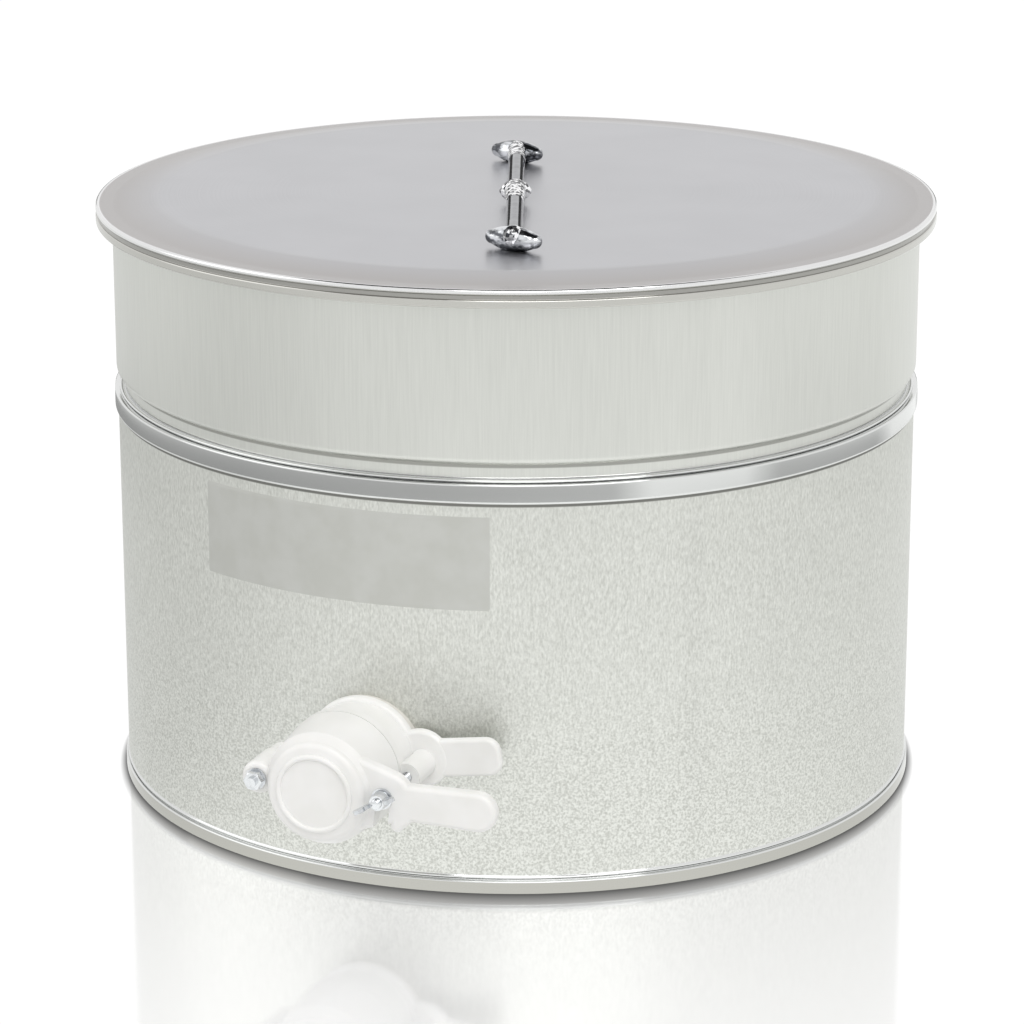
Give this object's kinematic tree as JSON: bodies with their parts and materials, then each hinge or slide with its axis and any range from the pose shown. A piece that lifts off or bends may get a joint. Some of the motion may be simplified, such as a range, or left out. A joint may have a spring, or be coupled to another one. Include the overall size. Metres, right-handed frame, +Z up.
{
  "type": "honey settling tank",
  "caption": "Stainless honey settling tank with a lift-out sieve ring, a loose lid with a plated handle and a white two-handled honey gate.",
  "frame": {"origin": "on the tank's axis at the floor that its seam stands on", "axes": "+Z is up along the tank's axis, -Y points out through the honey gate and +X is to the right of someone facing the gate"},
  "size_m": [0.5212, 0.5979, 0.3841],
  "materials": {
    "tank_steel": "satin",
    "ring_steel": "brushed",
    "lid_steel": "satin",
    "plated": "polished",
    "zinc": "plated",
    "white_plastic": "moulded",
    "rubber": "matte"
  },
  "bodies": {
    "tank": {"tank_wall": "tank_steel", "tank_bottom": "tank_steel", "valve_body": "white_plastic", "valve_outer_gasket": "rubber", "valve_inner_gasket": "rubber", "valve_lock_nut": "white_plastic", "pivot_bolt": "zinc", "pivot_washer": "zinc", "pivot_nut": "zinc", "clamp_stud": "zinc"},
    "sieve": {"sieve_ring": "ring_steel", "sieve_mesh": "ring_steel", "sieve_hoop": "ring_steel", "sieve_cross_bars": "ring_steel"},
    "lid": {"lid_panel": "lid_steel", "lid_handle": "plated", "lid_handle_screws": "zinc", "lid_handle_washers": "zinc"},
    "gate": {"gate": "white_plastic", "gate_seal": "rubber"},
    "clamp_washer": {"clamp_washer": "zinc"},
    "wing_nut": {"wing_nut": "zinc"}
  },
  "joints": [
    {"name": "sieve_lift", "type": "slide", "parent": "tank", "child": "sieve", "axis": [0, 0, 1], "range_m": [0, 0.3]},
    {"name": "lid_lift", "type": "slide", "parent": "sieve", "child": "lid", "axis": [0, 0, 1], "range_m": [0, 0.25]},
    {"name": "gate_swing", "type": "hinge", "parent": "tank", "child": "gate", "pos_m": [-0.041, -0.3, 0.084], "axis": [0, -1, 0], "range_deg": [0, 85]},
    {"name": "clamp_washer_slide", "type": "slide", "parent": "tank", "child": "clamp_washer", "axis": [0, -1, 0], "range_m": [0, 0.003]},
    {"name": "wing_nut_turn", "type": "hinge", "parent": "clamp_washer", "child": "wing_nut", "pos_m": [0.039, -0.325, 0.084], "axis": [0, -1, 0], "range_deg": [0, 1080]}
  ],
  "couplings": [
    {"joint": "clamp_washer_slide", "follows": "wing_nut_turn", "m_per_rad": 0.00015915}
  ]
}
